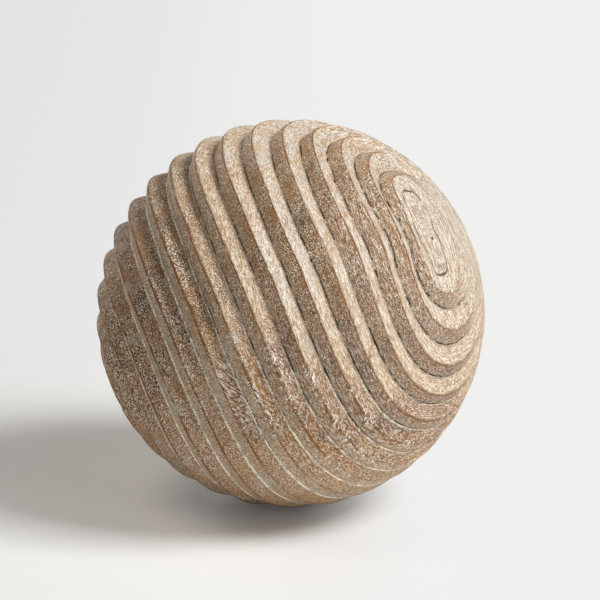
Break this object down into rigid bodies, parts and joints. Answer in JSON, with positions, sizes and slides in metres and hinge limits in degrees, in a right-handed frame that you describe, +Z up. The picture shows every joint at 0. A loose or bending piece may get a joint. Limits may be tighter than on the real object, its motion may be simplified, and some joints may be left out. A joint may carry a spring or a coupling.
{
  "type": "carved wooden ball",
  "caption": "Solid wooden ball for a bowl, desk or shelf, carved all over with nested oval ridges that step down like terraces round a small flat island",
  "frame": {"origin": "the point at the bottom of the ball where it touches the surface it stands on", "axes": "+Z up through the ball's middle, -Y toward the side with the ridges' long runs, +X to the right of that side, toward the island"},
  "size_m": [0.2534, 0.253, 0.2533],
  "materials": {
    "limed_wood": "open-grained brown wood rubbed with white lime wax, palest on the treads and in the grooves, browner on the walls"
  },
  "bodies": {
    "root": {"ball": "limed_wood"}
  },
  "joints": []
}
